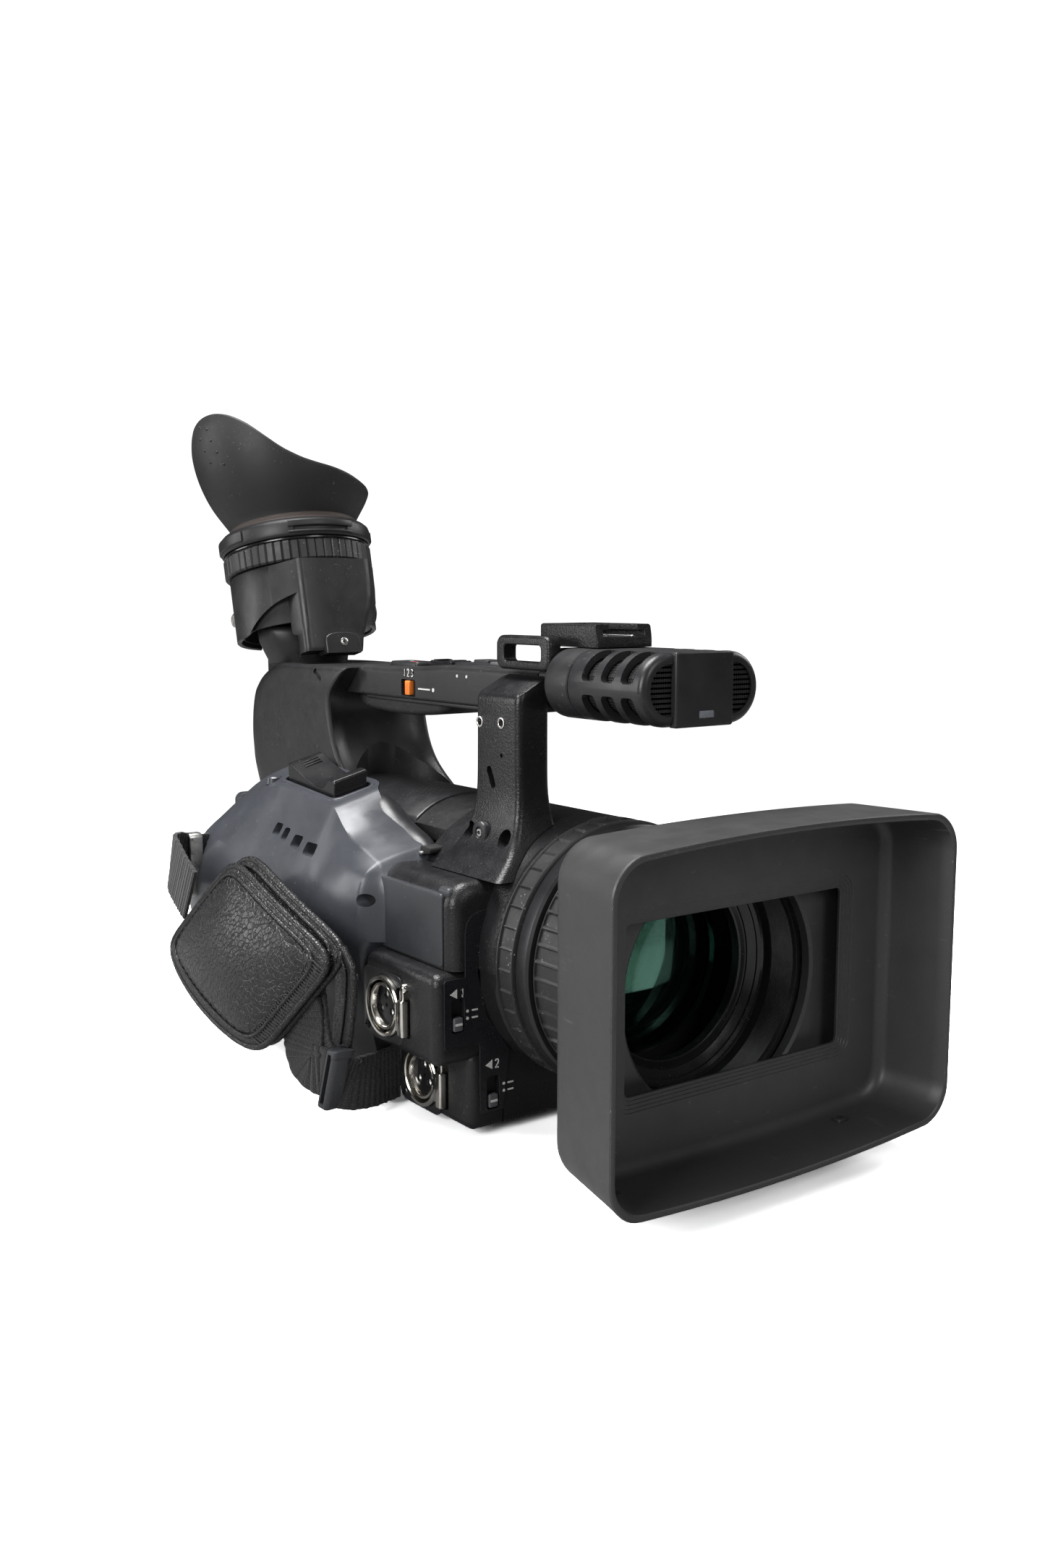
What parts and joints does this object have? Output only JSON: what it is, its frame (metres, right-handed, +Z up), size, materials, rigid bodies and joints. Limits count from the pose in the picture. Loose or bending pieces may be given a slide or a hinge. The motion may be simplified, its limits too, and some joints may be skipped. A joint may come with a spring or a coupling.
{
  "type": "camcorder",
  "caption": "Hand-held video camcorder with a side grip and hand strap, top handle with stereo microphone, tilting viewfinder, zoom lens and rectangular hood.",
  "frame": {"origin": "on the underside of the tripod plate, directly below the lens axis", "axes": "+Z up, -Y towards the scene being filmed, -X the side of the hand grip"},
  "size_m": [0.1772, 0.3752, 0.2762],
  "materials": {
    "body_plastic": "charcoal-black moulded plastic with a fine even grain",
    "cast_black": "die-cast metal with a coarse sparkling black paint",
    "grip_blue_grey": "satin blue-grey moulded shell",
    "hood_black": "satin charcoal plastic, matt inside, rim worn light",
    "black_rubber": "matt black rubber",
    "gloss_black": "glossy black plastic",
    "chrome": "bright nickel-chrome plate",
    "screw_steel": "plain bright steel",
    "coated_glass": "lens glass with a green anti-reflection coating",
    "orange_plastic": "orange signal-coloured plastic",
    "black_leather": "black pebble-grained leather, stitched and piped",
    "black_webbing": "black ribbed nylon webbing",
    "display_glass": "dark glossy display cover",
    "circuit_board": "green solder-masked board",
    "black_aluminium": "black anodised aluminium",
    "red_plastic": "red button plastic",
    "control_grey": "grey control plastic"
  },
  "bodies": {
    "camera_body": {"accessory_shoe": "cast_black", "base_plate": "black_aluminium", "bottom_case": "body_plastic", "evf_bracket": "cast_black", "front_element": "coated_glass", "front_housing": "cast_black", "front_trim_ring": "gloss_black", "grip_shell": "grip_blue_grey", "handle_arm": "cast_black", "handle_beam": "body_plastic", "handle_grip_pad": "black_rubber", "hood_baffle": "hood_black", "input_block": "cast_black", "left_cover": "body_plastic", "lens_barrel": "black_aluminium", "lens_hood": "hood_black", "main_board": "circuit_board", "mic_core": "black_rubber", "mic_front_plate": "gloss_black", "mic_mount": "body_plastic", "mic_pod": "body_plastic", "rear_cover": "body_plastic", "rear_pillar": "body_plastic", "sensor_block": "black_aluminium", "strap_buckle": "gloss_black", "strap_loop": "cast_black", "strap_lower_web": "black_webbing", "strap_pad": "black_leather", "strap_rear_web": "black_webbing", "top_cover": "body_plastic", "xlr_socket_1": "chrome", "xlr_socket_2": "chrome"},
    "zoom_ring_body": {"zoom_ring": "body_plastic"},
    "focus_ring_body": {"focus_ring": "black_rubber"},
    "viewfinder": {"evf_body": "body_plastic", "evf_pin": "screw_steel", "eyecup_ring": "body_plastic", "eyecup": "black_rubber", "eyepiece_lens": "coated_glass"},
    "diopter_body": {"diopter_ring": "black_rubber"},
    "side_display": {"lcd_hinge": "body_plastic", "lcd_panel": "body_plastic", "lcd_screen": "display_glass"},
    "grip_zoom_body": {"grip_zoom_rocker": "gloss_black"},
    "record_button_body": {"record_button": "red_plastic"},
    "handle_zoom_body": {"handle_zoom_rocker": "gloss_black"},
    "handle_record_body": {"handle_record_button": "body_plastic"},
    "speed_switch_body": {"handle_speed_switch": "orange_plastic"},
    "input_switch_1_body": {"input_switch_1": "control_grey"},
    "input_switch_2_body": {"input_switch_2": "control_grey"},
    "xlr_latch_1_body": {"xlr_latch_1": "chrome"},
    "xlr_latch_2_body": {"xlr_latch_2": "chrome"},
    "battery_body": {"battery": "body_plastic"},
    "battery_latch_body": {"battery_latch": "control_grey"},
    "card_door_body": {"card_door": "body_plastic"},
    "audio_knob_1_body": {"audio_knob_1": "control_grey"},
    "audio_knob_2_body": {"audio_knob_2": "control_grey"},
    "iris_dial_body": {"iris_dial": "black_rubber"},
    "mode_dial_body": {"mode_dial": "body_plastic"},
    "nd_switch_body": {"nd_switch": "control_grey"}
  },
  "joints": [
    {"name": "zoom_ring_turn", "type": "hinge", "parent": "camera_body", "child": "zoom_ring_body", "pos_m": [0, -0.085, 0.064], "axis": [0, 1, 0], "range_deg": [-10, 80]},
    {"name": "focus_ring_turn", "type": "hinge", "parent": "camera_body", "child": "focus_ring_body", "pos_m": [0, -0.114, 0.064], "axis": [0, 1, 0], "continuous": true},
    {"name": "viewfinder_tilt", "type": "hinge", "parent": "camera_body", "child": "viewfinder", "pos_m": [0, 0.16189, 0.1782], "axis": [1, 0, 0], "range_deg": [-77, 4]},
    {"name": "diopter_turn", "type": "hinge", "parent": "viewfinder", "child": "diopter_body", "pos_m": [0, 0.15147, 0.2042], "axis": [0, 0.225, 0.9744], "range_deg": [-60, 60]},
    {"name": "display_swing", "type": "hinge", "parent": "camera_body", "child": "side_display", "pos_m": [0.056, 0.0165, 0.072], "axis": [0, 0, -1], "range_deg": [0, 95]},
    {"name": "grip_zoom_rock", "type": "hinge", "parent": "camera_body", "child": "grip_zoom_body", "pos_m": [-0.0425, 0.0525, 0.106], "axis": [1, 0, 0], "range_deg": [-5, 5]},
    {"name": "record_press", "type": "slide", "parent": "camera_body", "child": "record_button_body", "axis": [0, -1, 0], "range_m": [0, 0.002]},
    {"name": "handle_zoom_rock", "type": "hinge", "parent": "camera_body", "child": "handle_zoom_body", "pos_m": [0, 0.019, 0.1604], "axis": [1, 0, 0], "range_deg": [-4, 4]},
    {"name": "handle_record_press", "type": "slide", "parent": "camera_body", "child": "handle_record_body", "axis": [0, 0, -1], "range_m": [0, 0.0006]},
    {"name": "speed_switch_slide", "type": "slide", "parent": "camera_body", "child": "speed_switch_body", "axis": [0, 1, 0], "range_m": [-0.0034, 0.0034]},
    {"name": "input_switch_1_slide", "type": "slide", "parent": "camera_body", "child": "input_switch_1_body", "axis": [0, 0, 1], "range_m": [0, 0.0055]},
    {"name": "input_switch_2_slide", "type": "slide", "parent": "camera_body", "child": "input_switch_2_body", "axis": [0, 0, 1], "range_m": [0, 0.0055]},
    {"name": "xlr_latch_1_press", "type": "slide", "parent": "camera_body", "child": "xlr_latch_1_body", "axis": [1, 0, 0], "range_m": [0, 0.0012]},
    {"name": "xlr_latch_2_press", "type": "slide", "parent": "camera_body", "child": "xlr_latch_2_body", "axis": [1, 0, 0], "range_m": [0, 0.0012]},
    {"name": "battery_release", "type": "slide", "parent": "camera_body", "child": "battery_body", "axis": [0, 0, 1], "range_m": [0, 0.014]},
    {"name": "battery_latch_slide", "type": "slide", "parent": "camera_body", "child": "battery_latch_body", "axis": [0, 0, -1], "range_m": [0, 0.004]},
    {"name": "card_door_open", "type": "hinge", "parent": "camera_body", "child": "card_door_body", "pos_m": [0.041, 0.133, 0.0214], "axis": [-1, 0, 0], "range_deg": [0, 100]},
    {"name": "audio_knob_1_turn", "type": "hinge", "parent": "camera_body", "child": "audio_knob_1_body", "pos_m": [0.06, 0.024, 0.032], "axis": [1, 0, 0], "range_deg": [-135, 135]},
    {"name": "audio_knob_2_turn", "type": "hinge", "parent": "camera_body", "child": "audio_knob_2_body", "pos_m": [0.06, 0.042, 0.032], "axis": [1, 0, 0], "range_deg": [-135, 135]},
    {"name": "iris_dial_turn", "type": "hinge", "parent": "camera_body", "child": "iris_dial_body", "pos_m": [0.06, -0.006, 0.06], "axis": [1, 0, 0], "continuous": true},
    {"name": "mode_dial_turn", "type": "hinge", "parent": "camera_body", "child": "mode_dial_body", "pos_m": [0.06, 0.098, 0.024], "axis": [1, 0, 0], "range_deg": [-45, 45]},
    {"name": "nd_switch_slide", "type": "slide", "parent": "camera_body", "child": "nd_switch_body", "axis": [0, 0, 1], "range_m": [-0.005, 0.005]}
  ]
}
